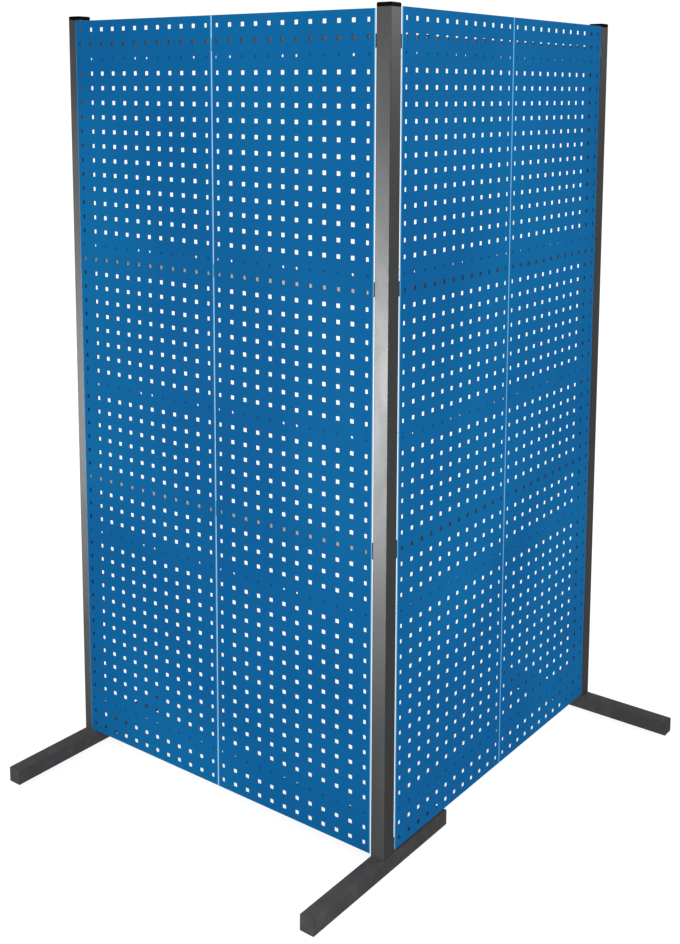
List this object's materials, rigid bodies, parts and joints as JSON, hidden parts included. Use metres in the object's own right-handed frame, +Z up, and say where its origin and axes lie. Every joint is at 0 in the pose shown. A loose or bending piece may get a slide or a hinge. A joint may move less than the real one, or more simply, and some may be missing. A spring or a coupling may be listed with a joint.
{
  "type": "perforated panel corner stand",
  "caption": "Free-standing corner stand: two wings of tall perforated steel panels at a right angle on square tube posts, cross rails and floor feet, for hanging tools and goods on hooks.",
  "frame": {"origin": "on the floor, under the middle of the bounding box", "axes": "+Z up; the first (left) wing's panel fronts look along -Y and the second (right) wing's look along +X; the corner post where the wings meet is at +X, -Y of the origin"},
  "size_m": [1.3162, 1.3362, 2.044],
  "materials": {
    "panel_paint": "satin blue powder coat on sheet steel",
    "post_paint": "satin grey powder coat on square tube",
    "foot_paint": "satin dark grey powder coat on square tube",
    "rail_paint": "satin grey powder coat on rectangular tube",
    "cap_plastic": "moulded black plastic, slightly glossy",
    "zinc_steel": "bright zinc plated steel"
  },
  "bodies": {
    "root": {"post_left": "post_paint", "post_cap_left": "cap_plastic", "foot_left": "foot_paint", "foot_plate_left_front": "foot_paint", "foot_plate_left_rear": "foot_paint", "foot_bolt_left": "zinc_steel", "post_corner": "post_paint", "post_cap_corner": "cap_plastic", "foot_corner": "foot_paint", "foot_plate_corner_front": "foot_paint", "foot_plate_corner_rear": "foot_paint", "foot_bolt_corner": "zinc_steel", "post_right": "post_paint", "post_cap_right": "cap_plastic", "foot_right": "foot_paint", "foot_plate_right_front": "foot_paint", "foot_plate_right_rear": "foot_paint", "foot_bolt_right": "zinc_steel", "rail_left_upper": "rail_paint", "rail_left_middle": "rail_paint", "rail_left_lower": "rail_paint", "rail_right_upper": "rail_paint", "rail_right_middle": "rail_paint", "rail_right_lower": "rail_paint", "panel_left_outer": "panel_paint", "stiffener_left_outer_1": "panel_paint", "stiffener_left_outer_2": "panel_paint", "stiffener_left_outer_3": "panel_paint", "stiffener_left_outer_4": "panel_paint", "stiffener_left_outer_5": "panel_paint", "panel_hook_left_outer_a": "zinc_steel", "panel_hook_left_outer_b": "zinc_steel", "panel_keeper_left_outer": "zinc_steel", "panel_left_inner": "panel_paint", "stiffener_left_inner_1": "panel_paint", "stiffener_left_inner_2": "panel_paint", "stiffener_left_inner_3": "panel_paint", "stiffener_left_inner_4": "panel_paint", "stiffener_left_inner_5": "panel_paint", "panel_hook_left_inner_a": "zinc_steel", "panel_hook_left_inner_b": "zinc_steel", "panel_keeper_left_inner": "zinc_steel", "panel_right_inner": "panel_paint", "stiffener_right_inner_1": "panel_paint", "stiffener_right_inner_2": "panel_paint", "stiffener_right_inner_3": "panel_paint", "stiffener_right_inner_4": "panel_paint", "stiffener_right_inner_5": "panel_paint", "panel_hook_right_inner_a": "zinc_steel", "panel_hook_right_inner_b": "zinc_steel", "panel_keeper_right_inner": "zinc_steel", "panel_right_outer": "panel_paint", "stiffener_right_outer_1": "panel_paint", "stiffener_right_outer_2": "panel_paint", "stiffener_right_outer_3": "panel_paint", "stiffener_right_outer_4": "panel_paint", "stiffener_right_outer_5": "panel_paint", "panel_hook_right_outer_a": "zinc_steel", "panel_hook_right_outer_b": "zinc_steel", "panel_keeper_right_outer": "zinc_steel"}
  },
  "joints": []
}
